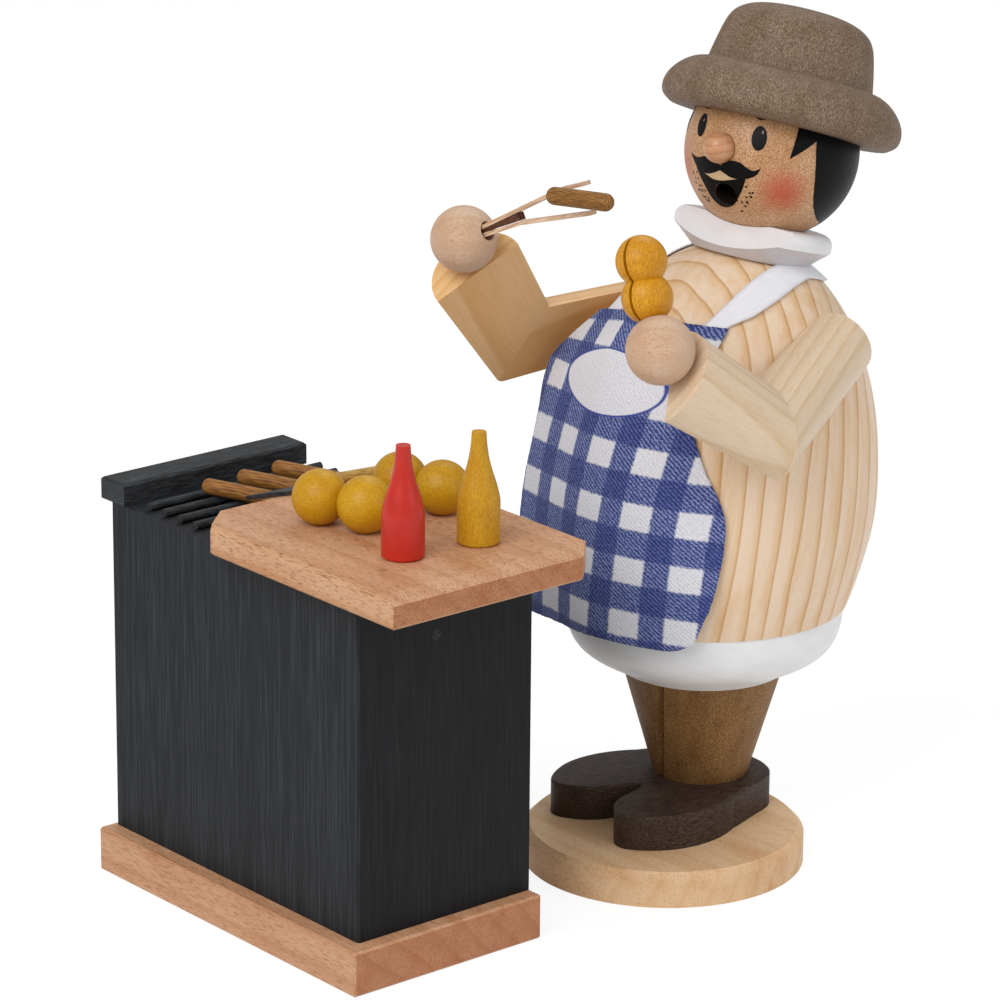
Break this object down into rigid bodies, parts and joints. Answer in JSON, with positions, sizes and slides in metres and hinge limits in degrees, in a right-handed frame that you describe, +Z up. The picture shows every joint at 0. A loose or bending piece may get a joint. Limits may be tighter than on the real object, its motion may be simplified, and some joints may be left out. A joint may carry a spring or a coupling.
{
  "type": "german incense smoker",
  "caption": "Turned wooden incense smoker: a sausage seller whose hollow upper body turns and lifts off the dish for an incense cone, with his separate grill stand.",
  "frame": {"origin": "centre of the underside of the figure's round foot board", "axes": "+Z up; the figure looks toward -Y over its grill stand, and its left hand is at +X"},
  "size_m": [0.1193, 0.1685, 0.1927],
  "materials": {
    "beech": "planed and sanded, clear matt lacquer",
    "dark_stained_shoes": "dark brown stain, matt",
    "brown_stained_legs": "brown stain, matt",
    "white_paint": "turned wood in matt white paint",
    "spruce_body": "turned softwood with clear growth rings, silk lacquer",
    "arm_wood": "sawn limewood, silk lacquer",
    "hand_beech": "turned beech, silk lacquer",
    "head_maple": "turned maple, painted face, silk lacquer",
    "grey_stained_hat": "grey brown stain, matt",
    "peg_wood": "raw dowel",
    "dish_metal": "pressed sheet, plain",
    "tack_steel": "plain",
    "strip_wood": "thin steamed strip, raw",
    "dark_wedge": "dark stain",
    "sausage_stain": "brown stain, satin",
    "bun_stain": "golden yellow stain, satin",
    "held_bun_stain": "golden orange stain, satin",
    "gingham_cloth": "blue and white woven check",
    "white_ribbon": "satin ribbon",
    "black_stained_wood": "black stain, matt, vertical grain",
    "red_paint": "turned wood in red paint, satin",
    "mustard_paint": "turned wood in mustard yellow stain, satin",
    "knife_blade_dark": "dark stain",
    "knife_handle_pale": "pale yellow stain"
  },
  "bodies": {
    "lower": {"base_disc": "beech", "shoes": "dark_stained_shoes", "legs": "brown_stained_legs", "leg_dowel": "peg_wood", "hem_bowl": "white_paint", "dish_tack": "tack_steel", "stand_base": "beech", "stand_block": "black_stained_wood", "grill_rail": "black_stained_wood", "grill_rod_1": "black_stained_wood", "grill_rod_2": "black_stained_wood", "grill_rod_3": "black_stained_wood", "grill_rod_4": "black_stained_wood", "grill_sausage_1": "sausage_stain", "grill_sausage_2": "sausage_stain", "grill_sausage_3": "sausage_stain", "knife_blade": "knife_blade_dark", "knife_handle": "knife_handle_pale", "worktop": "beech", "bun_front": "bun_stain", "bun_back": "bun_stain", "red_bottle": "red_paint", "yellow_bottle": "mustard_paint"},
    "dish": {"cone_dish": "dish_metal"},
    "upper": {"torso": "spruce_body", "collar": "white_paint", "head": "head_maple", "nose": "head_maple", "hat": "grey_stained_hat", "left_forearm": "arm_wood", "left_upper_arm": "arm_wood", "right_forearm": "arm_wood", "right_upper_arm": "arm_wood", "left_arm_dowel": "peg_wood", "right_arm_dowel": "peg_wood", "left_hand": "hand_beech", "right_hand": "hand_beech", "left_wrist_dowel": "peg_wood", "right_wrist_dowel": "peg_wood", "tongs_upper": "strip_wood", "tongs_lower": "strip_wood", "tongs_wedge": "dark_wedge", "held_sausage": "sausage_stain", "held_bun": "held_bun_stain", "bun_dowel": "peg_wood", "apron": "gingham_cloth", "apron_strap": "white_ribbon"}
  },
  "joints": [
    {"name": "body_turn", "type": "hinge", "parent": "lower", "child": "dish", "pos_m": [-0.00457, 0.01533, 0.05], "axis": [0, 0, 1], "continuous": true},
    {"name": "body_lift", "type": "slide", "parent": "dish", "child": "upper", "axis": [0, 0, 1], "range_m": [0, 0.06]}
  ]
}
